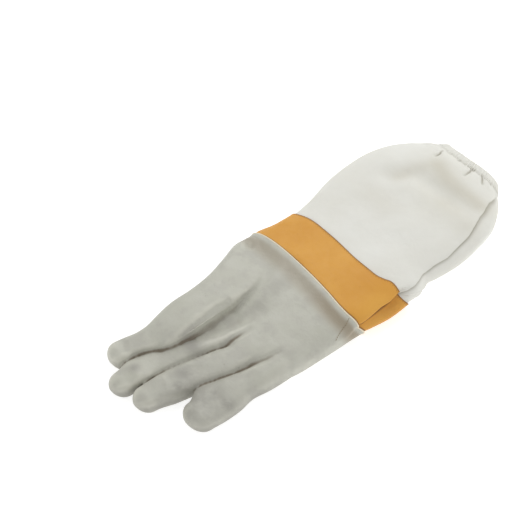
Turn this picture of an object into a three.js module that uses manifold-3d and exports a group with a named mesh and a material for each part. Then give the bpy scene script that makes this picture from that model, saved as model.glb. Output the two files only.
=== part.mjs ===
// A long-sleeved nitrile work glove, the left hand of a pair, lying back up on a flat surface.
// A dipped hand with its thumb tucked under the palm opens into a coated wrist band, and the
// band into a canvas sleeve that an elastic hem gathers. Every piece is a thin hollow wall.
// Units are millimetres. X runs from the index side to the little finger side, Y from the
// fingertips to the arm opening, and Z up from the surface that the glove lies on.
import * as THREE from "three";
import { mergeVertices } from "three/addons/utils/BufferGeometryUtils.js";
import Module from "manifold-3d";

// Wall thicknesses, and the gap between one piece and the piece sewn inside it.
const HAND_WALL = 1.6;
const BAND_WALL = 1.4;
const SLEEVE_WALL = 1.2;
const HEM_WALL = 2.8;
const SEWN_GAP = 0.4;

// Where the pieces end along Y. Each sewn piece starts inside the one before it.
const CUFF_EDGE = -8;
const BAND_END = 42;
const SLEEVE_END = 227;
const HEM_END = 238;
const SEAM_OVERLAP = 8;
const SETTLES_WITHIN = 14;

// The section of a flattened tube: how square it is, how high its widest line lies, and how
// far below the surface it would reach if the surface did not flatten it.
const SQUARENESS = 2.5;
const WIDEST_AT = 0.42;
const PRESSED_FLAT = 6;
const TOP_SIDES = 44;
const UNDER_SIDES = 12;
const TOP_CROWDING = 0.15;
const DIGIT_SIDES = 14;

// The tube from the finger bases to the elastic, a row for each section: its sides, its crown,
// and the fold along the little finger side, by its height and how deep it is pushed in.
// Forward of the cuff the left side draws back to stay clear of the tucked thumb.
const TUBE = [
  { y: 241, left: -58, right: 27, top: 26, foldAt: 14, fold: 0 },
  { y: 228, left: -60, right: 36, top: 29, foldAt: 14, fold: 0 },
  { y: 216, left: -67, right: 49, top: 34, foldAt: 16, fold: 0.6 },
  { y: 202, left: -77, right: 61, top: 38, foldAt: 17, fold: 1 },
  { y: 182, left: -87, right: 74, top: 41, foldAt: 19, fold: 1.4 },
  { y: 158, left: -91, right: 81.5, top: 42, foldAt: 19, fold: 1.8 },
  { y: 128, left: -90, right: 85.5, top: 39, foldAt: 18, fold: 2.4 },
  { y: 92, left: -85, right: 84, top: 36.5, foldAt: 16, fold: 4 },
  { y: 64, left: -80, right: 85, top: 37, foldAt: 17, fold: 6.5 },
  { y: 42, left: -77, right: 88.5, top: 38, foldAt: 18, fold: 9 },
  { y: 18, left: -77, right: 90, top: 38, foldAt: 15.5, fold: 9.5 },
  { y: -8, left: -79, right: 86.5, top: 38.5, foldAt: 12, fold: 4 },
  { y: -22, left: -75, right: 84.5, top: 37, foldAt: 11, fold: 1 },
  { y: -36, left: -64, right: 84, top: 35.5, foldAt: 10, fold: 0 },
  { y: -50, left: -46, right: 83.5, top: 33.5, foldAt: 10, fold: 0 },
  { y: -66, left: -27, right: 83, top: 31.5, foldAt: 10, fold: 0 },
  { y: -90, left: -22, right: 82, top: 29, foldAt: 10, fold: 0 },
  { y: -110, left: -20, right: 80, top: 26, foldAt: 10, fold: 0 },
  { y: -122, left: -15, right: 77, top: 21.5, foldAt: 10, fold: 0 },
  { y: -131, left: -6, right: 70, top: 13, foldAt: 10, fold: 0 },
];
const FOLD_HEIGHT = 5;
const PALM_STATIONS = [-28, -36, -50, -62, -76, -90, -102, -112, -122, -131];
const BAND_STATIONS = [4, 14, 24, 34];
const SLEEVE_STATIONS = [56, 74, 96, 120, 146, 170, 188, 202, 215];

// The seams of the band bow towards the fingers over the crown, and towards the arm low on the
// little finger side.
const BOW = { at: 46, wide: 28, back: 8, lowForward: 14, centre: 16, reach: 60 };

// Lines along which the top side is pressed in, or raised where the depth is negative.
const DENTS = [
  { x1: -4, y1: -66, x2: -12, y2: -128, wide: 9, deep: 5 },
  { x1: 27, y1: -96, x2: 21, y2: -136, wide: 7, deep: 7 },
  { x1: 57, y1: -92, x2: 50, y2: -136, wide: 7, deep: 6 },
  { x1: -62, y1: 6, x2: -70, y2: -8, wide: 7, deep: 3 },
  { x1: -60, y1: 172, x2: 20, y2: 208, wide: 14, deep: 3.5 },
  { x1: 10, y1: 90, x2: 44, y2: 150, wide: 22, deep: 1.6 },
];

// The elastic pulls the sleeve into gathers, which fade out towards the wrist.
const GATHERS = 18;
const GATHER_DEPTH = 1.4;
const GATHERS_FADE_OUT = 184;

// The digits, a row for each section: its middle, half its width and half its height, ending
// in a rounded tip past the last row. The index starts in the cuff, because the side of the
// hand over the thumb stands up as a ridge. Digits that lie on the surface are flat below.
const DIGITS = {
  index: {
    tip: 12,
    rows: [
      { y: -16, x: -46, z: 20, wide: 30, high: 13 },
      { y: -36, x: -44, z: 24, wide: 28.5, high: 12.5 },
      { y: -60, x: -37.5, z: 27.5, wide: 24.5, high: 12 },
      { y: -87, x: -32, z: 29, wide: 20.5, high: 12 },
      { y: -113, x: -30, z: 29, wide: 18.5, high: 11.5 },
      { y: -136, x: -30, z: 28, wide: 18.5, high: 11 },
      { y: -154, x: -29.5, z: 25, wide: 18, high: 10.5 },
      { y: -168, x: -30, z: 20.5, wide: 16, high: 10 },
      { y: -180, x: -34, z: 16, wide: 13.5, high: 10 },
      { y: -192, x: -39, z: 12.5, wide: 13, high: 10.5 },
      { y: -204, x: -41, z: 11, wide: 13.5, high: 11 },
    ],
  },
  middle: {
    tip: 14,
    rows: [
      { y: -98, x: 5, z: 11, wide: 19, high: 13 },
      { y: -124, x: 1, z: 11, wide: 19, high: 12 },
      { y: -140, x: -3, z: 10.5, wide: 17.5, high: 11.5 },
      { y: -158, x: -6, z: 9.5, wide: 16, high: 10.5 },
      { y: -176, x: -9, z: 8.5, wide: 15, high: 9.5 },
      { y: -192, x: -12, z: 8.5, wide: 15, high: 9.5 },
      { y: -208, x: -13, z: 9, wide: 15, high: 10.5 },
      { y: -223, x: -13, z: 8, wide: 13, high: 9 },
    ],
  },
  ring: {
    tip: 14,
    rows: [
      { y: -98, x: 41, z: 10, wide: 15.5, high: 12.5 },
      { y: -124, x: 36, z: 10, wide: 13.8, high: 11.5 },
      { y: -142, x: 31, z: 9.5, wide: 15, high: 11 },
      { y: -160, x: 27, z: 9, wide: 16.2, high: 10 },
      { y: -178, x: 23, z: 9, wide: 16, high: 10 },
      { y: -198, x: 20.5, z: 9, wide: 15.5, high: 10.5 },
      { y: -216, x: 18, z: 8, wide: 13, high: 9 },
    ],
  },
  little: {
    tip: 14,
    rows: [
      { y: -98, x: 68, z: 9.5, wide: 12.5, high: 12 },
      { y: -122, x: 66, z: 9, wide: 14, high: 11 },
      { y: -142, x: 63, z: 8.5, wide: 16, high: 10 },
      { y: -160, x: 63, z: 8, wide: 18.5, high: 9.5 },
      { y: -178, x: 61.5, z: 8, wide: 21.3, high: 9.5 },
      { y: -196, x: 64.5, z: 8, wide: 17.5, high: 9.5 },
    ],
  },
  thumb: {
    tip: 12,
    rows: [
      { y: -22, x: -50, z: 18, wide: 17, high: 11 },
      { y: -42, x: -50, z: 14, wide: 17, high: 10 },
      { y: -60, x: -47, z: 9, wide: 16, high: 8.5 },
      { y: -82, x: -42.5, z: 7.5, wide: 15.5, high: 8 },
      { y: -102, x: -38.5, z: 7.5, wide: 14.5, high: 7.5 },
      { y: -114, x: -37, z: 7, wide: 13.5, high: 7.5 },
    ],
  },
};
const TIP_STEPS = 4;

const wasm = await Module();
wasm.setup();

// The row of the tube's table at y, on a smooth curve through the rows.
function tubeRowAt(y) {
  const after = THREE.MathUtils.clamp(TUBE.findIndex((row) => row.y <= y), 1, TUBE.length - 1);
  const [before, low, high, beyond] = [after - 2, after - 1, after, after + 1].map(
    (place) => TUBE[THREE.MathUtils.clamp(place, 0, TUBE.length - 1)],
  );
  const step = high.y - low.y;
  const t = (y - low.y) / step;
  const row = { y };
  for (const key of Object.keys(low).filter((name) => name !== "y")) {
    const slopeLow = before === low ? 0 : ((high[key] - before[key]) / (high.y - before.y)) * step;
    const slopeHigh = beyond === high ? 0 : ((beyond[key] - low[key]) / (beyond.y - low.y)) * step;
    row[key] =
      low[key] * (2 * t ** 3 - 3 * t ** 2 + 1) +
      slopeLow * (t ** 3 - 2 * t ** 2 + t) +
      high[key] * (3 * t ** 2 - 2 * t ** 3) +
      slopeHigh * (t ** 3 - t ** 2);
  }
  return row;
}

// A point on the unit rounded square in the direction of an angle.
function onRoundedSquare(angle) {
  const [across, up] = [Math.cos(angle), Math.sin(angle)];
  const reach = (Math.abs(across) ** SQUARENESS + Math.abs(up) ** SQUARENESS) ** (-1 / SQUARENESS);
  return { across: across * reach, up: up * reach };
}

// The directions of a tube section, close together over the top and sparse underneath.
const TUBE_ANGLES = [];
for (let side = 0; side < TOP_SIDES; side++) {
  const angle = (side / TOP_SIDES) * Math.PI;
  TUBE_ANGLES.push(angle + TOP_CROWDING * Math.sin(2 * angle));
}
for (let side = 0; side < UNDER_SIDES; side++) {
  TUBE_ANGLES.push(Math.PI + (side / UNDER_SIDES) * Math.PI);
}

// How deep the top side is pressed in at a place seen from above.
function dentAt(x, y) {
  let depth = 0;
  for (const { x1, y1, x2, y2, wide, deep } of DENTS) {
    const [alongX, alongY] = [x2 - x1, y2 - y1];
    const share = ((x - x1) * alongX + (y - y1) * alongY) / (alongX ** 2 + alongY ** 2);
    const t = THREE.MathUtils.clamp(share, 0, 1);
    const away = Math.hypot(x - x1 - t * alongX, y - y1 - t * alongY);
    depth += deep * Math.exp(-((away / wide) ** 2));
  }
  return depth;
}

// How far a point of the tube shifts along Y where the seams bow.
function bowAt({ x, y, z }) {
  const back = BOW.back * Math.exp(-(((x - BOW.at) / BOW.wide) ** 2));
  const low = THREE.MathUtils.smoothstep(x, 66, 84) * (1 - THREE.MathUtils.smoothstep(z, 6, 20));
  return (BOW.lowForward * low - back) * Math.exp(-(((y - BOW.centre) / BOW.reach) ** 2));
}

// How far the gathers of the elastic stand in or out, which they don't where the tube lies flat.
function gatherAt(angle, y, z) {
  const grown = THREE.MathUtils.smoothstep(y, GATHERS_FADE_OUT, SLEEVE_END);
  const clear = THREE.MathUtils.smoothstep(z, 3, 10);
  return GATHER_DEPTH * grown * clear * Math.cos(GATHERS * angle);
}

// One ring of the tube at y, its skin moved inwards by inset and lying no lower than level.
function tubeRing(y, inset, level) {
  const row = tubeRowAt(y);
  const middle = (row.left + row.right) / 2;
  const halfWidth = (row.right - row.left) / 2 - inset;
  const widestAt = row.top * WIDEST_AT;
  return TUBE_ANGLES.map((angle) => {
    const { across, up } = onRoundedSquare(angle);
    const reach = up > 0 ? row.top - widestAt - inset : widestAt + PRESSED_FLAT - inset;
    const gather = gatherAt(angle, y, widestAt + reach * up);
    const x = middle + (halfWidth + gather) * across;
    const dent = up > 0 ? dentAt(x, y) * up : 0;
    const z = widestAt + (reach + gather) * up - dent;
    const pushedIn = across > 0 ? row.fold * Math.exp(-(((z - row.foldAt) / FOLD_HEIGHT) ** 2)) : 0;
    const point = new THREE.Vector3(x - pushedIn, y, Math.max(z, level));
    point.y += bowAt(point);
    return point;
  });
}

// One ring of a digit, an upright flattened oval.
function digitRing({ y, x, z, wide, high }, inset) {
  const ring = [];
  for (let side = 0; side < DIGIT_SIDES; side++) {
    const { across, up } = onRoundedSquare((side / DIGIT_SIDES) * 2 * Math.PI);
    const height = Math.max(z + (high - inset) * up, inset);
    ring.push(new THREE.Vector3(x + (wide - inset) * across, y, height));
  }
  return ring;
}

// Joins rings that run towards the fingertips into one skin. A closed skin meets itself again.
function skinOf(rings, closed) {
  const sides = rings[0].length;
  const faces = [];
  const last = closed ? rings.length : rings.length - 1;
  for (let ring = 0; ring < last; ring++) {
    const next = (ring + 1) % rings.length;
    for (let side = 0; side < sides; side++) {
      const beside = (side + 1) % sides;
      const [a, b] = [ring * sides + side, ring * sides + beside];
      const [c, d] = [next * sides + side, next * sides + beside];
      faces.push(a, b, c, b, d, c);
    }
  }
  return { points: rings.flat(), faces, sides };
}

function geometryOf({ points, faces }) {
  const geometry = new THREE.BufferGeometry().setFromPoints(points);
  geometry.setIndex(faces);
  return geometry;
}

// A skin closed by a flat face at each end.
function closedLoft(rings) {
  const skin = skinOf(rings, false);
  const lastRing = skin.points.length - skin.sides;
  for (const [ring, first] of [[rings[0], 0], [rings.at(-1), lastRing]]) {
    const centre = ring.reduce((sum, point) => sum.add(point), new THREE.Vector3());
    skin.points.push(centre.divideScalar(ring.length));
    const middle = skin.points.length - 1;
    for (let side = 0; side < skin.sides; side++) {
      const [a, b] = [first + side, first + ((side + 1) % skin.sides)];
      if (first === 0) skin.faces.push(middle, b, a);
      else skin.faces.push(middle, a, b);
    }
  }
  return geometryOf(skin);
}

// A wall open at both ends, out along its outer skin and back along its inner skin. Where it is
// sewn inside another piece it lies on that piece, and past it settles to the surface.
function openWall({ stations, inset, wall, nestedLevel = 0 }) {
  const towardsFingers = [...stations].sort((a, b) => b - a);
  const seamStart = towardsFingers.at(-1);
  const levelAt = (y) => {
    const freeFrom = seamStart + SEAM_OVERLAP;
    return nestedLevel * (1 - THREE.MathUtils.smoothstep(y, freeFrom, freeFrom + SETTLES_WITHIN));
  };
  const outer = towardsFingers.map((y) => tubeRing(y, inset, levelAt(y)));
  const inner = towardsFingers.map((y) => tubeRing(y, inset + wall, levelAt(y) + wall));
  return geometryOf(skinOf([...outer, ...inner.reverse()], true));
}

function solidOf(geometry) {
  const bare = geometry.clone();
  bare.deleteAttribute("normal");
  bare.deleteAttribute("uv");
  const merged = mergeVertices(bare, 1e-4);
  return new wasm.Manifold(
    new wasm.Mesh({
      numProp: 3,
      vertProperties: merged.attributes.position.array,
      triVerts: new Uint32Array(merged.index.array),
    }),
  );
}

function geometryFromSolid(solid) {
  const mesh = solid.getMesh();
  const geometry = new THREE.BufferGeometry();
  geometry.setAttribute("position", new THREE.BufferAttribute(mesh.vertProperties, 3));
  geometry.setIndex(new THREE.BufferAttribute(mesh.triVerts, 1));
  return geometry;
}

// The palm and cuff as one closed form. The inner form runs out past the cuff to open it.
function palmForm(inset) {
  const stations = [CUFF_EDGE, CUFF_EDGE - SEAM_OVERLAP, ...PALM_STATIONS];
  if (inset > 0) stations.unshift(CUFF_EDGE + 2);
  const rings = stations.map((y) => tubeRing(y, inset, inset));
  for (const point of rings.at(-1)) point.y += inset;
  return closedLoft(rings);
}

// One digit with its rounded tip.
function digitForm({ rows, tip }, inset) {
  const end = rows.at(-1);
  const rings = rows.map((row) => digitRing(row, inset));
  for (let step = 1; step < TIP_STEPS; step++) {
    const turn = (step / TIP_STEPS) * (Math.PI / 2);
    const section = {
      ...end,
      y: end.y - (tip - inset) * Math.sin(turn),
      wide: (end.wide - inset) * Math.cos(turn) + inset,
      high: (end.high - inset) * Math.cos(turn) + inset,
    };
    rings.push(digitRing(section, inset));
  }
  return closedLoft(rings);
}

function handForm(inset) {
  let form = solidOf(palmForm(inset));
  for (const digit of Object.values(DIGITS)) form = form.add(solidOf(digitForm(digit, inset)));
  return form;
}

const NITRILE = new THREE.MeshStandardMaterial({ color: 0xc3c3ba, roughness: 0.55, metalness: 0 });
const COATED = new THREE.MeshStandardMaterial({ color: 0xe0a14a, roughness: 0.6, metalness: 0 });
const CANVAS = new THREE.MeshStandardMaterial({ color: 0xe9e7dc, roughness: 0.9, metalness: 0 });

const BAND_INSET = HAND_WALL + SEWN_GAP;
const SLEEVE_INSET = BAND_INSET + BAND_WALL + SEWN_GAP;
const BAND_START = CUFF_EDGE - SEAM_OVERLAP;
const SLEEVE_START = BAND_END - SEAM_OVERLAP;

const glove = new THREE.Group();

function addPiece(name, geometry, material) {
  const piece = new THREE.Mesh(geometry, material);
  piece.name = name;
  glove.add(piece);
}

addPiece("dipped_hand", geometryFromSolid(handForm(0).subtract(handForm(HAND_WALL))), NITRILE);
addPiece(
  "wrist_band",
  openWall({
    stations: [BAND_START, CUFF_EDGE, ...BAND_STATIONS, BAND_END],
    inset: BAND_INSET,
    wall: BAND_WALL,
    nestedLevel: BAND_INSET,
  }),
  COATED,
);
addPiece(
  "canvas_sleeve",
  openWall({
    stations: [SLEEVE_START, BAND_END, ...SLEEVE_STATIONS, SLEEVE_END],
    inset: SLEEVE_INSET,
    wall: SLEEVE_WALL,
    nestedLevel: BAND_WALL + SEWN_GAP,
  }),
  CANVAS,
);
addPiece(
  "elastic_hem",
  openWall({
    stations: [SLEEVE_END + SEWN_GAP, (SLEEVE_END + HEM_END) / 2, HEM_END],
    inset: SLEEVE_INSET - (HEM_WALL - SLEEVE_WALL) / 2,
    wall: HEM_WALL,
  }),
  CANVAS,
);

// The origin is under the middle of the finished glove.
const middle = new THREE.Box3().setFromObject(glove).getCenter(new THREE.Vector3());
for (const piece of glove.children) piece.geometry.translate(-middle.x, -middle.y, 0);

export default glove;
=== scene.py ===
import math

import bmesh
import bpy
import numpy as np
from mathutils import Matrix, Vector


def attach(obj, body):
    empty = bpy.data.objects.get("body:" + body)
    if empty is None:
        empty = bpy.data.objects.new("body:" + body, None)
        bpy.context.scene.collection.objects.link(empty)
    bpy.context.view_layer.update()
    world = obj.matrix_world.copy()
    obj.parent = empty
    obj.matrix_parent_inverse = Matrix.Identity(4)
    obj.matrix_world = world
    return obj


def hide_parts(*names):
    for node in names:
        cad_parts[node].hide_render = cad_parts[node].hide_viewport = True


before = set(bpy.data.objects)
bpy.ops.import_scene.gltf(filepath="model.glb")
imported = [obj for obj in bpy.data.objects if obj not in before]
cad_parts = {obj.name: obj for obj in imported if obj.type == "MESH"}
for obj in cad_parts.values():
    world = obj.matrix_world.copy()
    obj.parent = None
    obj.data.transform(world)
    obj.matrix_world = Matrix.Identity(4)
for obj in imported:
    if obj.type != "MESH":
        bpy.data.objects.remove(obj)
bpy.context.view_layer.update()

# Camera
# The photograph looks down on the glove over the little finger, from the fingers' end. Its view
# is long and narrow, so the glove keeps nearly the same scale from fingertips to sleeve.
AZIMUTH = math.radians(49)
ELEVATION = math.radians(43)
DISTANCE = 2.0
LENS = 140.6
SENSOR = 36
AIM = Vector((-0.0687, -0.0110, 0.0))

camera = bpy.data.objects.new("camera", bpy.data.cameras.new("camera"))
bpy.context.collection.objects.link(camera)
away = Vector((
    math.sin(AZIMUTH) * math.cos(ELEVATION),
    -math.cos(AZIMUTH) * math.cos(ELEVATION),
    math.sin(ELEVATION),
))
camera.location = AIM + away * DISTANCE
camera.rotation_euler = away.to_track_quat("Z", "Y").to_euler()
camera.data.lens = LENS
camera.data.sensor_width = SENSOR
bpy.context.scene.camera = camera

# The dipped hand
# A knitted liner dipped in light grey nitrile: one seamless smooth skin from the fingertips to
# the cuff, satin and a little mottled, with a faint brown strip inside the cuff's edge that is
# partly soiling and partly painted shade of the groove there.
MM = 0.001
HAND_VOXEL = 1.15 * MM
HAND_WALL = 1.3 * MM
SHARP_RIM = math.radians(65)
CUFF_SPARE = 8
PALM_SIDES = 120
DIGIT_SIDES = 48
RING_STEP = -3.0
TIP_RINGS = 9
TIP_CLOSED_AT = np.pi / 2 - 0.06

# The sections of the flattened tube of cuff, band and sleeve, in millimetres: the sides, the
# crown, and the fold along the little finger side by its height and its depth.
TUBE_COLUMNS = ("y", "left", "right", "top", "fold_at", "fold")
TUBE_ROWS = (
    (-131, -6, 73, 13, 10, 0),
    (-122, -15, 79, 21.5, 10, 0),
    (-110, -20, 81.6, 26, 10, 0),
    (-90, -22, 85.3, 29, 10, 0),
    (-66, -27, 86.3, 31.5, 10, 0),
    (-50, -46, 86.8, 33.5, 10, 0),
    (-36, -64, 87, 35.5, 12, 0),
    (-22, -75, 86.8, 37, 16, 1),
    (-8, -79, 87.3, 38.5, 18.3, 5),
    (18, -77, 90, 38, 21.8, 10),
    (30, -76.8, 89.6, 38.1, 22, 10),
    (42, -77, 88.5, 38, 23.3, 8.5),
    (52, -78.2, 88.9, 37.5, 23, 3.5),
    (61, -79.5, 88.6, 37.1, 22, 1.2),
    (70, -81.1, 85.4, 36.9, 21, 0),
    (80, -82.9, 81.4, 36.7, 19, 0),
    (92, -85, 82.9, 36.5, 18, 0),
    (128, -90, 85.5, 39, 18, 0),
    (158, -91, 81.5, 42, 19, 0),
    (182, -87, 74, 41, 19, 0),
    (202, -77, 61, 38, 17, 0),
    (216, -67, 49, 34, 16, 0),
    (228, -60, 36, 29, 14, 0),
    (241, -58, 27, 26, 14, 0),
)
CUFF_EDGE = -8
BAND_END = 42
PALM_END = -131
TUBE_MIDDLE = (-0.798, 1.033)
SQUARENESS = 2.5
WIDEST_AT = 0.42
PRESSED_FLAT = 6
BAND_BELLY = {"deep": 8, "at": 15, "reach": 45, "side": (0, 0.5)}
FOLD_ABOVE = 2
FOLD_BELOW = 6.5

# How far the cuff's edge and the band's end bow towards the arm, across the glove, and how far
# both lean that way low down on the little finger side.
BOW_COLUMNS = ("x", "cuff", "end")
BOW_ROWS = (
    (-70, 0, 0),
    (-40, -1.4, -0.4),
    (-17, -3.4, -1.8),
    (15, -6.6, -5.2),
    (30, -8.4, -6.4),
    (45, -10.2, -6.9),
    (56, -11.6, -6.2),
    (63, -12.2, -3),
    (68, -12.2, 0.4),
    (73, -11.8, 1.4),
    (86, -9, 0.2),
)
LOW_LEAN = {"deep": 11, "x": (66, 84), "z": (2, 24)}
BOW_REACH = 50

# The digits, a row for each section: its middle, half its width and half its height, ending in
# a rounded tip past the last row. The index starts in the cuff, as a ridge over the thumb.
DIGIT_COLUMNS = ("y", "x", "z", "wide", "high")
DIGITS = {
    "index": {"tip": 12, "squareness": 2.8, "near": 5.0, "rows": (
        (-16, -46, 20, 30, 13),
        (-36, -44, 24, 28.5, 12.5),
        (-60, -35, 27.5, 27, 12),
        (-87, -29, 28.5, 23.5, 12),
        (-113, -27, 28.5, 21.5, 11.5),
        (-136, -27, 27.5, 21.3, 11),
        (-154, -26.5, 24.5, 20, 10.5),
        (-168, -27.5, 20, 18, 10),
        (-180, -33, 15.5, 14.5, 10),
        (-192, -39, 12.5, 13, 10.5),
        (-204, -41, 11, 13.5, 11),
    )},
    "middle": {"tip": 14, "squareness": 2.6, "near": 4.4, "rows": (
        (-78, 8, 9, 19, 11),
        (-98, 5, 12.5, 19, 14.5),
        (-124, 1, 12, 19.3, 13.5),
        (-140, -3, 12, 18, 13),
        (-158, -6, 11, 16.6, 12),
        (-176, -9, 9.5, 15.6, 10.5),
        (-192, -12, 8.5, 15.4, 9.5),
        (-208, -13, 9, 15, 10.5),
        (-223, -13, 8, 13, 9),
    )},
    "ring": {"tip": 14, "squareness": 2.8, "near": 4.2, "rows": (
        (-78, 43, 9, 15, 11),
        (-98, 41, 13, 15.5, 14),
        (-124, 37.3, 11.5, 16.8, 12.3),
        (-142, 31.9, 10, 17.1, 11.5),
        (-160, 27, 9.5, 17, 10.5),
        (-178, 23, 9, 16.8, 10.5),
        (-198, 20, 9, 15.8, 10.5),
        (-218, 16.8, 8, 13.6, 9),
    )},
    "little": {"tip": 14, "squareness": 2.8, "near": 2.6, "rows": (
        (-72, 68, 8, 9, 9),
        (-98, 69.2, 11.5, 13.6, 12.5),
        (-122, 68.2, 10.5, 14.4, 11.7),
        (-142, 64.4, 8.5, 15.4, 10),
        (-160, 63.3, 8, 20.1, 9.5),
        (-178, 62, 8, 22.5, 9.5),
        (-196, 65.8, 8, 17.6, 9.5),
    )},
    "thumb": {"tip": 12, "squareness": 2.5, "near": 2.5, "rows": (
        (-22, -50, 18, 17, 11),
        (-42, -50, 14, 17, 10),
        (-60, -47, 9, 16, 8.5),
        (-82, -42.5, 7.5, 15.5, 8),
        (-102, -38.5, 7.5, 14.5, 7.5),
        (-114, -37, 7, 13.5, 7.5),
    )},
}


def smoothstep(value, low, high):
    share = np.clip((value - low) / (high - low), 0, 1)
    return share * share * (3 - 2 * share)


def plateau(value, rise, fall):
    """1 between a rise and a fall, each a pair of values, and 0 outside them."""
    return smoothstep(value, *rise) * (1 - smoothstep(value, *fall))


def bell(offset, wide):
    """1 where an offset is 0, falling off softly on both sides over a width."""
    return np.exp(-((offset / wide) ** 2))


def table_column(rows, columns, name, y):
    """A column of a table at y, on a smooth curve through its rows."""
    ordered = sorted(rows)
    at = np.array([row[0] for row in ordered], float)
    size = np.array([row[columns.index(name)] for row in ordered], float)
    slope = np.empty(len(at))
    slope[1:-1] = (size[2:] - size[:-2]) / (at[2:] - at[:-2])
    slope[0] = slope[-1] = 0
    low = np.clip(np.searchsorted(at, y) - 1, 0, len(at) - 2)
    step = at[low + 1] - at[low]
    t = np.clip((y - at[low]) / step, 0, 1)
    return (
        size[low] * (2 * t**3 - 3 * t**2 + 1)
        + slope[low] * step * (t**3 - 2 * t**2 + t)
        + size[low + 1] * (3 * t**2 - 2 * t**3)
        + slope[low + 1] * step * (t**3 - t**2)
    )


def tube_column(name, y):
    return table_column(TUBE_ROWS, TUBE_COLUMNS, name, y)


def all_round(columns):
    """The directions of evenly spaced columns, all the way round."""
    return np.linspace(0, 2 * np.pi, columns, endpoint=False)


def rounded_square(angle, squareness, near=None):
    """How far across and up the outline of a unit rounded square lies in a direction."""
    across, up = np.cos(angle), np.sin(angle)
    if near:
        squareness = np.where(across > 0, near, squareness)
    reach = (np.abs(across) ** squareness + np.abs(up) ** squareness) ** (-1 / squareness)
    return across * reach, up * reach


def bow_at(x, y, z):
    """How far the seams of the band bow towards the arm at a place on the tube."""
    cuff, end = (table_column(BOW_ROWS, BOW_COLUMNS, name, x) for name in ("cuff", "end"))
    between = np.clip((y - CUFF_EDGE) / (BAND_END - CUFF_EDGE), 0, 1)
    low = LOW_LEAN["deep"] * smoothstep(x, *LOW_LEAN["x"]) * (1 - smoothstep(z, *LOW_LEAN["z"]))
    outside = np.maximum(CUFF_EDGE - y, 0) + np.maximum(y - BAND_END, 0)
    return (cuff + (end - cuff) * between + low) * bell(outside, BOW_REACH)


def tube_skin(y, angle, inset=0.0, level=0.0, bump=None, crease=None):
    """Points on the unbowed tube, inset from its skin, for rows y and columns angle."""
    y, angle = np.broadcast_arrays(y, angle)
    left, right, top = (tube_column(name, y) for name in ("left", "right", "top"))
    across, up = rounded_square(angle, SQUARENESS)
    middle, half_width = (left + right) / 2, (right - left) / 2 - inset
    widest = top * WIDEST_AT
    belly = BAND_BELLY["deep"] * bell(y - BAND_BELLY["at"], BAND_BELLY["reach"])
    pressed = PRESSED_FLAT + belly * smoothstep(across, *BAND_BELLY["side"])
    height = np.where(up > 0, top - widest - inset, widest + pressed - inset)
    stands_out = bump(y, angle, widest + height * up) if bump else 0
    z = widest + (height + stands_out) * up
    over_fold = z - tube_column("fold_at", y)
    fold_reach = np.where(over_fold > 0, FOLD_ABOVE, FOLD_BELOW)
    push = tube_column("fold", y) * bell(over_fold, fold_reach)
    if crease:
        push = push + crease(y, z)
    x = middle + (half_width + stands_out) * across - np.where(across > 0, push, 0)
    return np.stack([x, y, np.maximum(z, level)], -1)


def bowed(points):
    """Points of the tube in their place in the frame: bowed, centred, and in metres."""
    x, y, z = points[..., 0], points[..., 1], points[..., 2]
    return np.stack([x - TUBE_MIDDLE[0], y + bow_at(x, y, z) - TUBE_MIDDLE[1], z], -1) * MM


def plain_mesh(name, points, faces):
    """A new object from points and faces, smooth shaded."""
    mesh = bpy.data.meshes.new(name)
    mesh.from_pydata([tuple(p) for p in points], [], faces)
    mesh.update()
    mesh.shade_smooth()
    piece = bpy.data.objects.new(name, mesh)
    bpy.context.collection.objects.link(piece)
    return piece


def baked(piece):
    """The piece with its modifiers worked into its mesh."""
    depsgraph = bpy.context.evaluated_depsgraph_get()
    mesh = bpy.data.meshes.new_from_object(piece.evaluated_get(depsgraph))
    piece.modifiers.clear()
    piece.data = mesh
    return piece


def mesh_points(piece, layer="co"):
    """The places of a piece's points, or the ways that they face where layer is normal."""
    values = np.empty(len(piece.data.vertices) * 3)
    piece.data.vertices.foreach_get(layer, values)
    return values.reshape(-1, 3)


def set_mesh_points(piece, points):
    piece.data.vertices.foreach_set("co", points.astype(np.float32).ravel())
    piece.data.update()


def ring_corners(rows, columns):
    """The numbers of the points on rings, and of the point beside each."""
    corner = np.arange(rows * columns).reshape(rows, columns)
    return corner, np.roll(corner, -1, axis=1)


def capped_loft(rings):
    """The points and faces of a closed form through rings, with a fan at each end."""
    rows, columns = rings.shape[:2]
    corner, beside = ring_corners(rows, columns)
    sides = np.stack([corner[:-1], beside[:-1], beside[1:], corner[1:]], -1)
    faces = sides.reshape(-1, 4).tolist()
    points = np.concatenate([rings.reshape(-1, 3), rings[[0, -1]].mean(axis=1)])
    first, last = rows * columns, rows * columns + 1
    faces += [[first, beside[0, c], corner[0, c]] for c in range(columns)]
    faces += [[last, corner[-1, c], beside[-1, c]] for c in range(columns)]
    return points, faces


def digit_rings(digit):
    """Rings of a digit from its start to its rounded tip."""
    y_start, y_end = digit["rows"][0][0], digit["rows"][-1][0]
    straight = np.arange(y_start, y_end, RING_STEP)
    turn = np.append(np.linspace(0, np.pi / 2, TIP_RINGS)[:-1], TIP_CLOSED_AT)
    at = np.concatenate([straight, np.full(len(turn), y_end)])
    shrink = np.concatenate([np.ones(len(straight)), np.cos(turn)])[:, None]
    ahead = np.concatenate([np.zeros(len(straight)), np.sin(turn)]) * digit["tip"]
    x, z, wide, high = (
        table_column(digit["rows"], DIGIT_COLUMNS, name, at)[:, None]
        for name in DIGIT_COLUMNS[1:]
    )
    across, up = rounded_square(all_round(DIGIT_SIDES), digit["squareness"], digit["near"])
    y = np.broadcast_to((at - ahead)[:, None], (len(at), DIGIT_SIDES))
    return np.stack([x + wide * shrink * across, y, np.maximum(z + high * shrink * up, 0)], -1)


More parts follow.
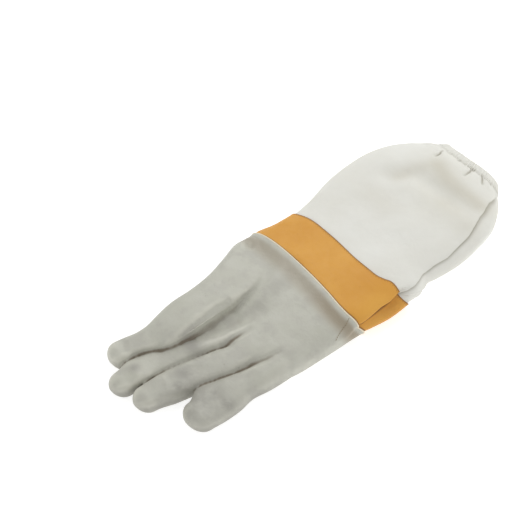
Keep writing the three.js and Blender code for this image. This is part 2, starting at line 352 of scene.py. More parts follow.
def hand_form():
    """The palm with spare cloth past the cuff, and the digits, as overlapping closed forms."""
    palm_y = np.arange(CUFF_EDGE + CUFF_SPARE, PALM_END, RING_STEP)[:, None]
    forms = [tube_skin(palm_y, all_round(PALM_SIDES))]
    forms += [digit_rings(digit) for digit in DIGITS.values()]
    points, faces = [], []
    for rings in forms:
        start = sum(len(part) for part in points)
        form_points, form_faces = capped_loft(rings)
        points.append(form_points)
        faces += [[corner + start for corner in face] for face in form_faces]
    return np.concatenate(points) * MM, faces


# Where the skin of the hand is pressed in, or raised where the depth is negative: a line
# through points seen from above, how wide it is and how deep, in millimetres.
HAND_CREASES = (
    (((12, -80), (8, -98), (3, -120), (-2, -142)), 9, 5.2),
    (((-8, -97), (-9, -111), (-8, -128), (-7, -146), (-7, -158)), 2.8, 1.5),
    (((2, -84), (0, -62), (-4, -40), (-10, -26)), 13, -4.5),
    (((24, -100), (21.5, -116), (19.5, -129)), 3.6, 2.6),
    (((64, -97), (61, -110), (55, -124), (51.5, -136)), 3.6, 2.2),
    (((-62, -24), (-54, -31)), 4.5, 3.0),
    (((16, -178), (30, -161)), 6.5, 1.8),
    (((24, -204), (14, -199)), 3.0, 0.7),
    (((26, -197), (15, -191)), 3.0, 0.7),
    (((75, -178), (58, -168)), 5, 1.6),
    (((70, -192), (62, -184)), 5, 0.9),
    (((-12, -180), (-20, -168)), 5, 1.2),
    (((-2, -205), (-14, -196)), 5, 0.9),
    (((-38, -168), (-27, -176)), 6, 1.3),
    (((-47, -196), (-36, -203)), 4, 0.8),
    (((76, -60), (60, -84)), 9, 0.8),
    (((-50, -60), (-30, -78)), 10, 0.8),
)
CREASE_ENDS = 0.12
CREASE_POWER = 0.6
LOWEST_PRESSED = 0.2
FACES_UP = (0.0, 0.6)


def distance_to_path(x, y, path):
    """The distance in plan to a line through points, and the share along it, from 0 to 1."""
    nearest = np.full(x.shape, np.inf)
    along = np.zeros(x.shape)
    spans = len(path) - 1
    for span, ((x1, y1), (x2, y2)) in enumerate(zip(path[:-1], path[1:])):
        dx, dy = x2 - x1, y2 - y1
        t = np.clip(((x - x1) * dx + (y - y1) * dy) / (dx * dx + dy * dy), 0, 1)
        away_from = np.hypot(x - x1 - t * dx, y - y1 - t * dy)
        closer = away_from < nearest
        along = np.where(closer, (span + t) / spans, along)
        nearest = np.minimum(nearest, away_from)
    return nearest, along


def fading(along, ends):
    """1 in the middle of a line and less towards its ends, which it leaves out by a share."""
    return np.sin(np.pi * (ends + (1 - 2 * ends) * along))


def press(points, facing_up, creases):
    """Points in millimetres with the creases pressed into their upward faces."""
    depth = np.zeros(len(points))
    for path, wide, deep in creases:
        away_from, along = distance_to_path(points[:, 0], points[:, 1], path)
        depth += deep * fading(along, CREASE_ENDS) ** CREASE_POWER * bell(away_from, wide)
    pressed = points.copy()
    pressed[:, 2] = np.maximum(points[:, 2] - depth * facing_up, LOWEST_PRESSED)
    return pressed


def upward(piece):
    """How far each point of a piece faces up, from 0 to 1."""
    return smoothstep(mesh_points(piece, "normal")[:, 2], *FACES_UP)


SMOOTHING = 0.5
SKIN_ROUNDS = 4


def smooth_where(piece, name, weight, rounds):
    """Adds a smoothing that works on each point by a weight, taken in tenths."""
    group = piece.vertex_groups.new(name=name)
    tenths = np.round(weight, 1)
    for share in np.unique(tenths[tenths > 0]):
        group.add(np.flatnonzero(tenths == share).tolist(), float(share), "REPLACE")
    smooth = piece.modifiers.new(name, "SMOOTH")
    smooth.factor = SMOOTHING
    smooth.iterations = rounds
    smooth.vertex_group = group.name


hand = plain_mesh("nitrile_hand", *hand_form())
remesh = hand.modifiers.new("even_skin", "REMESH")
remesh.mode = "VOXEL"
remesh.voxel_size = HAND_VOXEL
soften = hand.modifiers.new("soft_skin", "SMOOTH")
soften.factor = SMOOTHING
soften.iterations = SKIN_ROUNDS
baked(hand)

# Where the fingers leave the palm, the joins are smoothed away.
KNUCKLES = {"y": ((-150, -128), (-108, -76)), "x": (3, 12), "rounds": 18}
hand_x, hand_y, _ = (mesh_points(hand) / MM).T
weight = plateau(hand_y, *KNUCKLES["y"]) * smoothstep(hand_x, *KNUCKLES["x"])
smooth_where(hand, "knuckles", weight, KNUCKLES["rounds"])
baked(hand)

# The ridge of the index runs out into the palm before it reaches the cuff.
RIDGE_END = {"y": ((-94, -70), (-34, -18)), "x": ((-42, -24), (22, 40)), "z": 14, "rounds": 110}
hand_x, hand_y, hand_z = (mesh_points(hand) / MM).T
weight = plateau(hand_y, *RIDGE_END["y"]) * plateau(hand_x, *RIDGE_END["x"])
smooth_where(hand, "ridge_end", weight * (hand_z > RIDGE_END["z"]), RIDGE_END["rounds"])
baked(hand)

# The spare cloth is cut off straight across before the bow is put in.
TRIM_NEAR = 0.02 * MM
trim = bmesh.new()
trim.from_mesh(hand.data)
bmesh.ops.bisect_plane(
    trim,
    geom=trim.verts[:] + trim.edges[:] + trim.faces[:],
    dist=TRIM_NEAR,
    plane_co=(0, CUFF_EDGE * MM, 0),
    plane_no=(0, 1, 0),
    clear_outer=True,
)
trim.to_mesh(hand.data)
trim.free()


def standing_out(piece, rounds):
    """How far each point stands out of its surroundings, or lies back in them, in millimetres."""
    points = mesh_points(piece) / MM
    ends = np.empty(len(piece.data.edges) * 2, int)
    piece.data.edges.foreach_get("vertices", ends)
    one, other = ends.reshape(-1, 2).T
    beside = np.bincount(ends, minlength=len(points))[:, None]
    even = points
    for _ in range(rounds):
        total = np.zeros_like(even)
        for axis in range(3):
            total[:, axis] = np.bincount(one, even[other, axis], len(even))
            total[:, axis] += np.bincount(other, even[one, axis], len(even))
        even = total / beside
    return ((points - even) * mesh_points(piece, "normal")).sum(axis=1)


def paint(piece, name, values):
    """Keeps a number for each point of a piece, for its material to read."""
    kept = piece.data.attributes.new(name, "FLOAT", "POINT")
    kept.data.foreach_set("value", values.astype(np.float32))


# The groove along the cuff's hem. The clefts between the fingers are evened out, so that they
# run as clean lines, and faces that the flat places don't need are left out.
HEM_GROOVE = {"from_edge": 14, "wide": 8, "deep": 0.9, "above": (8, 20)}
CLEFTS = {"depth": (0.15, 0.5), "rounds": 5}
NEAR_ROUNDS = 8
KEPT_FACES = 0.66
hand_points = press(mesh_points(hand) / MM, upward(hand), HAND_CREASES)
behind_edge = CUFF_EDGE - hand_points[:, 1]
groove = HEM_GROOVE["deep"] * bell(behind_edge - HEM_GROOVE["from_edge"], HEM_GROOVE["wide"])
hand_points[:, 2] -= groove * upward(hand) * smoothstep(hand_points[:, 2], *HEM_GROOVE["above"])
set_mesh_points(hand, hand_points * MM)
weight = smoothstep(-standing_out(hand, NEAR_ROUNDS), *CLEFTS["depth"])
smooth_where(hand, "clefts", weight, CLEFTS["rounds"])
fewer = hand.modifiers.new("fewer", "DECIMATE")
fewer.ratio = KEPT_FACES
baked(hand)

# Places that are a little greyer, seen from above: x, y, how wide they are and how strong.
GREYER_PLACES = (
    (22, -179, 19, 1.0),
    (31, -192, 12, 1.0),
    (57, -172, 11, 1.0),
    (76, -171, 14, 1.0),
    (3, -152, 15, 1.0),
    (-14, -208, 9, 0.8),
    (52, -188, 56, 0.85),
)
# Where a cleft is shallow and gets less painted shade: its middle and reach in plan, and how
# much.
SOFT_CLEFTS = (
    ((9, -167, 11, 26), 0.75),
    ((26, -98, 9, 11), 0.75),
)
# What the material reads: the brown strip along the hem, partly soiling and partly painted
# shade of its groove; painted shade in the clefts and in the wide valley beside the index finger;
# the greyer places, with painted shade low down on the fingers; and a painted highlight on the
# ridges.
HEM_STRIP = {"strong": 0.66, "behind": ((1.5, 8), (12, 30)), "low_side": (20, 60), "more": 0.5}
CLEFT_DARK = {"depth": (0.17, 0.54), "behind": (50, 90)}
VALLEY = {"y": (-150, -128), "x": (10, 16), "less": 0.7, "strong": 0.5}
VALLEY_WIDE = {"rounds": 45, "depth": (0.8, 3.5)}
GREY_REACH = 0.65
LOW_SIDE_SHADE = {"strong": 0.9, "z": (5, 16), "y": (-130, -80)}
RIDGE_HIGHLIGHT = {"high": (0.10, 0.36), "behind": 3}
hand_points = mesh_points(hand) / MM
hand_x, hand_y, hand_z = hand_points.T
behind_edge = CUFF_EDGE - hand_y
set_mesh_points(hand, bowed(hand_points))
stands_out = standing_out(hand, NEAR_ROUNDS)
# The brown strip inside the cuff's edge: partly soiling, partly painted shade of its groove.
low_side = 1 + HEM_STRIP["more"] * smoothstep(hand_x, *HEM_STRIP["low_side"])
paint(hand, "hem_dirt_and_shade", HEM_STRIP["strong"] * plateau(behind_edge, *HEM_STRIP["behind"]) * low_side)
# Painted shade in the clefts between the fingers, and in the wide valley beside the index finger.
in_valley = smoothstep(hand_y, *VALLEY["y"]) * (1 - smoothstep(hand_x, *VALLEY["x"]))
valley_deep = smoothstep(-standing_out(hand, VALLEY_WIDE["rounds"]), *VALLEY_WIDE["depth"])
hollow_shade = smoothstep(-stands_out, *CLEFT_DARK["depth"]) * (1 - VALLEY["less"] * in_valley)
hollow_shade += VALLEY["strong"] * in_valley * valley_deep
for (x, y, across, along), less in SOFT_CLEFTS:
    away_from = np.hypot((hand_x - x) / across, (hand_y - y) / along)
    hollow_shade *= 1 - less * np.exp(-(away_from**4))
paint(hand, "cleft_and_valley_shade", hollow_shade * smoothstep(behind_edge, *CLEFT_DARK["behind"]))
greyer_and_low_shade = np.zeros(len(hand_points))
for x, y, wide, strong in GREYER_PLACES:
    away_from = np.hypot(hand_x - x, hand_y - y)
    greyer_and_low_shade = np.maximum(greyer_and_low_shade, strong * bell(away_from, GREY_REACH * wide))
# Painted shade low down on the fingers, towards their tips.
low = (1 - smoothstep(hand_z, *LOW_SIDE_SHADE["z"])) * (1 - smoothstep(hand_y, *LOW_SIDE_SHADE["y"]))
paint(hand, "greyer_and_low_shade", np.maximum(greyer_and_low_shade, LOW_SIDE_SHADE["strong"] * low))
# A painted highlight along the ridges.
paint(hand, "ridge_highlight", smoothstep(stands_out, *RIDGE_HIGHLIGHT["high"]) * (behind_edge > RIDGE_HIGHLIGHT["behind"]))
wall = hand.modifiers.new("wall", "SOLIDIFY")
wall.thickness = HAND_WALL
wall.offset = -1
baked(hand)


def feed(socket, value):
    """Joins a socket to another node's, or sets it to a number or a colour."""
    if isinstance(value, bpy.types.NodeSocket):
        socket.id_data.links.new(value, socket)
    elif isinstance(value, tuple):
        socket.default_value = (*value, 1)
    else:
        socket.default_value = value


def give(node, inputs):
    """Feeds a node's inputs, found by their names with _ for each space."""
    for name, value in inputs.items():
        feed(node.inputs[name.replace("_", " ")], value)


class Finish:
    """A material under construction: nodes are added to it and joined by name."""

    def __init__(self, name):
        self.material = bpy.data.materials.new(name)
        self.material.use_nodes = True
        self.tree = self.material.node_tree
        self.tree.nodes.clear()
        self.shader = self.add("ShaderNodeBsdfPrincipled")
        self.add("ShaderNodeOutputMaterial", Surface=self.shader.outputs["BSDF"])
        self.place = self.add("ShaderNodeTexCoord").outputs["Object"]

    def add(self, kind, **inputs):
        node = self.tree.nodes.new(kind)
        give(node, inputs)
        return node

    def surface(self, **inputs):
        give(self.shader, inputs)

    def painted(self, name, share=1.0):
        """A share of the number that was painted on the piece."""
        node = self.add("ShaderNodeAttribute")
        node.attribute_name = name
        return self.math("MULTIPLY", node.outputs["Fac"], share)

    def cloth_map(self):
        """The place on a sheet of cloth, in metres around and along it."""
        node = self.add("ShaderNodeUVMap")
        node.uv_map = "cloth"
        return node.outputs["UV"]

    def noise(self, scale, detail=4.0, roughness=0.55):
        cloud = {"Vector": self.place, "Scale": scale, "Detail": detail, "Roughness": roughness}
        return self.add("ShaderNodeTexNoise", **cloud).outputs["Fac"]

    def ramp(self, factor, *stops):
        """Colours or greys along a factor, as (place, colour) stops."""
        node = self.add("ShaderNodeValToRGB", Fac=factor)
        elements = node.color_ramp.elements
        while len(elements) < len(stops):
            elements.new(0.5)
        for element, (place, colour) in zip(elements, stops):
            element.position = place
            element.color = (*(colour if isinstance(colour, tuple) else (colour,) * 3), 1)
        return node.outputs["Color"]

    def mix(self, factor, first, second, blend="MIX"):
        node = self.tree.nodes.new("ShaderNodeMix")
        node.data_type = "RGBA"
        node.blend_type = blend
        for number, value in ((0, factor), (6, first), (7, second)):
            feed(node.inputs[number], value)
        return node.outputs[2]

    def math(self, operation, first, second):
        node = self.tree.nodes.new("ShaderNodeMath")
        node.operation = operation
        for socket, value in zip(node.inputs, (first, second)):
            feed(socket, value)
        return node.outputs[0]

    def bump(self, height, distance, below=None):
        node = self.add("ShaderNodeBump", Height=height, Distance=distance)
        if below:
            feed(node.inputs["Normal"], below)
        return node.outputs["Normal"]


NITRILE = {
    "deep": (0.49, 0.488, 0.415),
    "light": (0.546, 0.544, 0.476),
    "patch": (0.455, 0.447, 0.395),
    "smear": (0.49, 0.48, 0.42),
    "ridge_highlight": (0.68, 0.67, 0.58),
    "speck": (0.20, 0.18, 0.15),
    "groove_shade_and_dirt": (0.345, 0.30, 0.225),
    "grey_and_shade": (0.335, 0.326, 0.288),
    "cleft": (0.15, 0.115, 0.075),
}


def nitrile_finish():
    """Satin grey nitrile: faint mottling, small dark specks and the liner's grain."""
    finish = Finish("nitrile")
    colour = finish.ramp(finish.noise(26, 3.0), (0.3, NITRILE["deep"]), (0.7, NITRILE["light"]))
    patch = finish.ramp(finish.noise(44, 5.0, 0.6), (0.48, 0.0), (0.60, 0.7))
    colour = finish.mix(patch, colour, NITRILE["patch"])
    smear = finish.ramp(finish.noise(90, 6.0, 0.65), (0.42, 0.0), (0.70, 0.45))
    colour = finish.mix(smear, colour, NITRILE["smear"])
    # A painted highlight along the ridges.
    colour = finish.mix(finish.painted("ridge_highlight", 0.55), colour, NITRILE["ridge_highlight"])
    spots = finish.add("ShaderNodeTexVoronoi", Vector=finish.place, Scale=95.0, Randomness=1.0)
    speck = finish.ramp(spots.outputs["Distance"], (0.035, 1.0), (0.075, 0.0))
    seldom = finish.ramp(finish.noise(40, 1.0), (0.60, 0.0), (0.64, 0.55))
    colour = finish.mix(finish.mix(1.0, speck, seldom, "MULTIPLY"), colour, NITRILE["speck"])
    # The strip inside the cuff's edge: partly soiling, partly painted shade of its groove.
    colour = finish.mix(finish.painted("hem_dirt_and_shade"), colour, NITRILE["groove_shade_and_dirt"])
    broken = finish.ramp(finish.noise(75, 5.0, 0.65), (0.30, 0.45), (0.52, 1.0))
    # Greyer places, and painted shade low down on the fingers.
    colour = finish.mix(finish.painted("greyer_and_low_shade", broken), colour, NITRILE["grey_and_shade"])
    # Painted shade in the clefts and in the valley beside the index finger.
    colour = finish.mix(finish.painted("cleft_and_valley_shade", 0.85), colour, NITRILE["cleft"])
    rough = finish.ramp(finish.noise(60, 3.0), (0.3, 0.42), (0.7, 0.56))
    grain = finish.bump(finish.noise(900, 3.0), 0.00012)
    skin = finish.bump(finish.noise(130, 3.0), 0.0006, grain)
    finish.surface(Base_Color=colour, Roughness=rough, Normal=skin, Specular_IOR_Level=0.35)
    return finish.material


hand.data.materials.append(nitrile_finish())
hand.data.shade_smooth()
hand.data.set_sharp_from_angle(angle=SHARP_RIM)
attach(hand, "root")
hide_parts("dipped_hand")

# The cuff's edge
# The dipped skin is trimmed at the cuff, where its pale knitted core shows as a thin rolled
# edge. A short tuck, stitched in brown thread, takes in the cuff at the little finger side.
EDGE_RADIUS = 0.85 * MM
EDGE_FORWARD = 0.3
EDGE_INSET = 0.4
EDGE_COLOUR = (0.93, 0.85, 0.66)
CORD_SIDES = 10
STITCH_SIZES = ("Pitch", "Radius", "Half Length")
STITCH_PITCH = 3.1 * MM
STITCH_RADIUS = 0.264 * MM
STITCH_HALF = 1.1 * MM
BEAD_SIDES = 8
BEAD_RINGS = 6
TUCK = ((76.5, -20.5, 28), (78.4, -26, 25), (79.6, -33, 22), (80.7, -38, 20), (81.9, -41.5, 18))
TUCK_PITCH = 2.48 * MM
TUCK_COLOUR = (0.30, 0.235, 0.145)
TUCK_STEPS = 24
SHORT_OF_END = 0.001
TUCK_LIFT = 0.1 * MM
LOOKS_FROM = 50 * MM


def geometry_tree(name, sizes, build):
    """A node tree that takes a path with named sizes and a finish, and gives its real mesh."""
    tree = bpy.data.node_groups.new(name, "GeometryNodeTree")
    sockets = {"Path": "Geometry", **dict.fromkeys(sizes, "Float"), "Finish": "Material"}
    for socket, kind in sockets.items():
        tree.interface.new_socket(socket, in_out="INPUT", socket_type="NodeSocket" + kind)
    tree.interface.new_socket("Mesh", in_out="OUTPUT", socket_type="NodeSocketGeometry")
    given = tree.nodes.new("NodeGroupInput").outputs
    result = tree.nodes.new("NodeGroupOutput").inputs

    def node(kind, settings=None, **inputs):
        made = tree.nodes.new(kind)
        for setting, value in (settings or {}).items():
            setattr(made, setting, value)
        give(made, inputs)
        return made.outputs[0] if len(made.outputs) == 1 else made.outputs

    real = node("GeometryNodeRealizeInstances", Geometry=build(node, given))
    shown = node("GeometryNodeSetMaterial", Geometry=real, Material=given["Finish"])
    tree.links.new(shown, result["Mesh"])
    return tree


def cord_along(node, given):
    """A round cord of the given radius along the path."""
    path = node("GeometryNodeMeshToCurve", Mesh=given["Path"])
    section = node(
        "GeometryNodeCurvePrimitiveCircle",
        {"mode": "RADIUS"},
        Resolution=CORD_SIDES,
        Radius=given["Radius"],
    )
    return node(
        "GeometryNodeCurveToMesh", Curve=path, Profile_Curve=section["Curve"], Fill_Caps=True
    )


def stitches_along(node, given):
    """A row of small capsule stitches laid end to end along the path."""
    path = node("GeometryNodeMeshToCurve", Mesh=given["Path"])
    pitch, radius, half_length = (given[size] for size in STITCH_SIZES)
    steps = node("GeometryNodeCurveToPoints", {"mode": "LENGTH"}, Curve=path, Length=pitch)
    bead = node("GeometryNodeMeshUVSphere", Segments=BEAD_SIDES, Rings=BEAD_RINGS, Radius=1.0)
    size = node("ShaderNodeCombineXYZ", X=radius, Y=radius, Z=half_length)
    placed = node(
        "GeometryNodeInstanceOnPoints",
        Points=steps["Points"],
        Instance=bead["Mesh"],
        Rotation=steps["Rotation"],
        Scale=size,
    )
    return node("GeometryNodeSetShadeSmooth", Geometry=placed)


cord_tree = geometry_tree("cord_along_path", ("Radius",), cord_along)
stitch_tree = geometry_tree("stitches_along_path", STITCH_SIZES, stitches_along)


def along_path(name, tree, path, closed, finish, sizes):
    """A piece that a node tree makes along a path of points in metres."""
    count = len(path)
    edges = [(n, (n + 1) % count) for n in range(count if closed else count - 1)]
    mesh = bpy.data.meshes.new(name)
    mesh.from_pydata([tuple(point) for point in path], edges, [])
    piece = bpy.data.objects.new(name, mesh)
    bpy.context.collection.objects.link(piece)
    run = piece.modifiers.new("along_path", "NODES")
    run.node_group = tree
    given = {**sizes, "Finish": finish}
    for item in tree.interface.items_tree:
        if item.in_out == "INPUT" and item.name in given:
            run[item.identifier] = given[item.name]
    return baked(piece)


def stitch_row(name, path, closed, finish, pitch=STITCH_PITCH):
    """A row of stitches along a path."""
    sizes = dict(zip(STITCH_SIZES, (pitch, STITCH_RADIUS, STITCH_HALF)))
    return along_path(name, stitch_tree, path, closed, finish, sizes)


def tube_line(y, inset, level=0.0, columns=400, bump=None):
    """A closed line around the tube at y."""
    return bowed(tube_skin(y, all_round(columns), inset, level, bump))


def thread_finish(name, colour):
    """Dull twisted thread, with painted shade between its strands."""
    finish = Finish(name)
    between = tuple(0.8 * part for part in colour)
    twist = finish.ramp(finish.noise(1800, 2.0), (0.3, between), (0.7, colour))
    finish.surface(Base_Color=twist, Roughness=0.85)
    return finish.material


cuff_rim = along_path(
    "cuff_rolled_edge",
    cord_tree,
    tube_line(CUFF_EDGE + EDGE_FORWARD, EDGE_INSET, level=EDGE_RADIUS / MM),
    True,
    thread_finish("knitted_core", EDGE_COLOUR),
    {"Radius": EDGE_RADIUS},
)
cuff_rim.data.shade_smooth()
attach(cuff_rim, "root")

# The tuck's line is laid on the skin as the camera sees it.
tuck_way = [Vector(point) * MM for point in np.array(TUCK) - (*TUBE_MIDDLE, 0)]
on_skin = []
for share in np.linspace(0, len(tuck_way) - 1 - SHORT_OF_END, TUCK_STEPS):
    first = int(share)
    place = tuck_way[first].lerp(tuck_way[first + 1], share - first)
    _, nearest, normal, _ = hand.ray_cast(place + away * LOOKS_FROM, -away)
    on_skin.append(nearest + normal * TUCK_LIFT)
brown_thread = thread_finish("brown_thread", TUCK_COLOUR)
tuck = stitch_row("cuff_tuck_stitches", on_skin, False, brown_thread, TUCK_PITCH)
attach(tuck, "root")

# The wrist band
# A strip of golden orange coated cloth, closed into a tube and sewn inside the cuff's edge. It
# folds sharply along the little finger side, and its lower panel stands out below the fold.
BAND_INSET = 1.0
BAND_WALL = 1.2
BAND_LEVEL = 1.5
BAND_ROWS = 62
BAND_SWELLS = ((0.5, 5.0, 0.08, 0.0), (0.35, 11.0, -0.11, 1.0))
BAND_FREE = (6, 16)
UNDER_CUFF = {"reach": 8, "sinks": 0.4}
SEAM_OVERLAP = 8
SEAM_STITCHES = 2.0
STITCH_LEVEL = 0.3
SETTLES_WITHIN = 14
TOP_COLUMNS = 230
UNDER_COLUMNS = 50
TOP_CROWDING = 0.15


def tube_angles():
    """The directions of a tube's columns, close together over the top."""
    top = np.linspace(0, np.pi, TOP_COLUMNS, endpoint=False)
    under = np.linspace(np.pi, 2 * np.pi, UNDER_COLUMNS, endpoint=False)
    return np.concatenate([top + TOP_CROWDING * np.sin(2 * top), under])


def tube_piece(name, points, wall):
    """A closed tube of cloth from rows of points, with a wall and a map around and along it."""
    rows, columns = points.shape[:2]
    corner, beside = ring_corners(rows, columns)
    faces = np.stack([corner[:-1], corner[1:], beside[1:], beside[:-1]], -1).reshape(-1, 4)
    along = (points[:, 0, 1] - points[0, 0, 1]) * MM
    points = bowed(points)
    piece = plain_mesh(name, points.reshape(-1, 3), faces.tolist())
    around = np.linalg.norm(np.roll(points, -1, axis=1) - points, axis=2)[rows // 2]
    start = np.cumsum(around) - around
    row, column = np.divmod(np.arange((rows - 1) * columns), columns)
    u0, u1 = start[column], start[column] + around[column]
    v0, v1 = along[row], along[row + 1]
    corners = np.stack([u0, v0, u0, v1, u1, v1, u1, v0], 1)
    cloth = piece.data.uv_layers.new(name="cloth")
    cloth.data.foreach_set("uv", corners.ravel().astype(np.float32))
    thick = piece.modifiers.new("wall", "SOLIDIFY")
    thick.thickness = wall * MM
    thick.offset = -1
    baked(piece)
    piece.data.shade_smooth()
    piece.data.set_sharp_from_angle(angle=SHARP_RIM)
    return piece


def settled_level(y, start, level):
    """How high a sewn-in piece lies over the surface: on its neighbour, then down to it."""
    seam_end = start + SEAM_OVERLAP
    return level * (1 - smoothstep(y, seam_end, seam_end + SETTLES_WITHIN))


def swells(y, angle, waves):
    """Slow waves over a tube: each one's height, its turns around and along, and its start."""
    return sum(
        high * np.sin(angle * around + y * along + start) for high, around, along, start in waves
    )


def band_bump(y, angle, z):
    """The band's slow swells, which end where it lies pressed under the cuff."""
    under_cuff = 1 - smoothstep(y, CUFF_EDGE, CUFF_EDGE + UNDER_CUFF["reach"])
    swell = swells(y, angle, BAND_SWELLS) * smoothstep(z, *BAND_FREE) * (1 - under_cuff)
    return swell - UNDER_CUFF["sinks"] * under_cuff


BAND_START = CUFF_EDGE - SEAM_OVERLAP
BAND_LENGTH = (BAND_END - BAND_START) * MM
band_y = np.linspace(BAND_START, BAND_END, BAND_ROWS)[:, None]
band_level = settled_level(band_y, BAND_START, BAND_LEVEL)
band_points = tube_skin(band_y, tube_angles(), BAND_INSET, band_level, band_bump)
band = tube_piece("orange_band", band_points, BAND_WALL)

COATED = {
    "deep": (0.665, 0.312, 0.046),
    "light": (0.735, 0.376, 0.066),
    "fold": (0.17, 0.075, 0.02),
    "seam_shade": (0.24, 0.10, 0.025),
    "worn": (0.50, 0.22, 0.05),
    "thread": (0.52, 0.25, 0.06),
}


def coated_finish():
    """Golden orange coated cloth: matt, finely pebbled, a little deeper where it is worn."""
    finish = Finish("coated_cloth")
    colour = finish.ramp(finish.noise(22, 4.0), (0.3, COATED["deep"]), (0.7, COATED["light"]))
    # Painted shade in the side fold and on the panel below it.
    colour = finish.mix(finish.painted("fold_shade", 0.92), colour, COATED["fold"])
    # Painted shade on the band just past the cuff's edge and at the band's end, along the seams.
    along = finish.add("ShaderNodeSeparateXYZ", Vector=finish.cloth_map()).outputs["Y"]
    share = finish.math("DIVIDE", along, BAND_LENGTH)
    near_seams = finish.ramp(share, (0.172, 1.0), (0.192, 0.0), (0.973, 0.0), (0.988, 1.0))
    colour = finish.mix(finish.math("MULTIPLY", near_seams, 0.9), colour, COATED["seam_shade"])
    worn = finish.ramp(finish.noise(150, 6.0, 0.7), (0.62, 0.0), (0.75, 0.35))
    colour = finish.mix(worn, colour, COATED["worn"])
    rough = finish.ramp(finish.noise(200, 2.0), (0.3, 0.5), (0.7, 0.62))
    pebble = finish.add("ShaderNodeTexVoronoi", Vector=finish.place, Scale=1500.0)
    grain = finish.bump(pebble.outputs["Distance"], 0.00008)
    skin = finish.bump(finish.noise(90, 3.0), 0.0006, grain)
    finish.surface(Base_Color=colour, Roughness=rough, Normal=skin, Specular_IOR_Level=0.3)
    return finish.material


# Painted shade: a dark line in the side fold, and the lower panel below it. The bow carries
# the fold a little towards the arm, and the deeper it is, the more of it the upper panel hides.
FOLD_DARK = {"carried": 3, "hidden": 0.22, "edge": (-0.4, 0.8), "wide": 1.1, "side": (60, 68)}
PANEL_DARK = {"strong": 0.12, "edge": (0, 3)}
band_x, band_at_y, band_z = (mesh_points(band) / MM).T
fold_y = band_at_y + TUBE_MIDDLE[1] + FOLD_DARK["carried"]
below_fold = tube_column("fold_at", fold_y) - band_z
in_sight = np.maximum(below_fold - FOLD_DARK["hidden"] * tube_column("fold", fold_y), 0)
line = smoothstep(below_fold, *FOLD_DARK["edge"]) * bell(in_sight, FOLD_DARK["wide"])
panel = PANEL_DARK["strong"] * smoothstep(below_fold, *PANEL_DARK["edge"])
paint(band, "fold_shade", np.maximum(line, panel) * smoothstep(band_x, *FOLD_DARK["side"]))
band.data.materials.append(coated_finish())
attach(band, "root")
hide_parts("wrist_band")

seam_line = tube_line(BAND_END - SEAM_STITCHES, BAND_INSET, STITCH_LEVEL, bump=band_bump)
orange_thread = thread_finish("orange_thread", COATED["thread"])
band_stitches = stitch_row("band_seam_stitches", seam_line, True, orange_thread)
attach(band_stitches, "root")

# The canvas sleeve
# Off-white canvas closed into a wide tube by a side seam and sewn inside the band. The elastic
# at its end draws it into gathers, which run out over the cloth and leave broad soft swells.
SLEEVE_INSET = 2.6
SLEEVE_WALL = 1.0
SLEEVE_END = 227
SLEEVE_LEVEL = 1.6
SLEEVE_START = BAND_END - SEAM_OVERLAP
SLEEVE_ROWS = ((SLEEVE_START, 180, 90), (181, SLEEVE_END, 58))
SLEEVE_FREE = (4, 12)

# Deep creases at the elastic, the dents and broad dips of the cloth, and painted brownish shade
# in the dips: lines seen from above, their width, and their depth (the strength, for the shade).
HEM_CREASES = (
    ((-29.7, 198.7), (-30.7, 207), (-39, 221)),
    ((7, 204.5), (3, 217.4), (-3.7, 229)),
    ((24.9, 212.7), (17.3, 221.2), (9.2, 229)),
    ((3.5, 221), (0, 229)),
    ((-16, 219), (-20.5, 228)),
)
SLEEVE_DENTS = (
    (((-40, 143), (-22, 163), (2, 165), (26, 167), (46, 168)), 13, 6.0),
    (HEM_CREASES[0][:2], 2.0, 2.2),
    (HEM_CREASES[1][:2], 2.0, 2.4),
    (HEM_CREASES[2][:2], 2.0, 2.0),
    (((-40, 120), (30, 140)), 26, 1.6),
    (((8, 60), (44, 96)), 14, 1.5),
    (((-30, 78), (-44, 130)), 14, 1.4),
)
SLEEVE_SHADES = (
    (((-33, 150), (-29, 170), (-17, 188)), 9, 0.5),
    (((-16, 189), (3, 184), (19, 184), (33, 185), (48, 185)), 11, 0.85),
    (((26, 160), (60, 152)), 17, 0.45),
    (((-32, 110), (-8, 108)), 16, 0.3),
)
DENTS_OVER = (0.55, 0.85)

# The gathers, placed at random: how unevenly they lie, how wide they are in radians, how deep
# they are and how far they run, in millimetres, and how much further a few of them run on.
GATHER_SEED = 11
GATHER_FOLDS = 36
GATHER_UNEVEN = 0.3
GATHER_WIDE = (0.020, 0.032)
GATHER_DEEP = (-2.2, -0.7)
GATHER_LONG = (3.5, 9)
GATHER_RUNS_ON = {"by": 12, "above": 0.8}
GATHER_POWER = 1.5
# Slow swells, the puffed index side, and the ear and sunk middle that the elastic draws up.
SLEEVE_SWELLS = ((0.7, 4.0, 0.035, 0.0), (0.4, 9.0, -0.05, 2.0))
SWELLS_ALONG = ((44, 60), (200, 226))
PUFFED = {"by": 5.0, "angle": ((1.0, 2.0), (2.7, 3.1)), "y": ((50, 110), (212, 232))}
DRAWN_UP = (204, 228)
EAR = {"by": 5.0, "angle": 2.34, "wide": 0.14}
SUNK = {"by": 2.6, "angle": 1.65, "wide": 0.5}

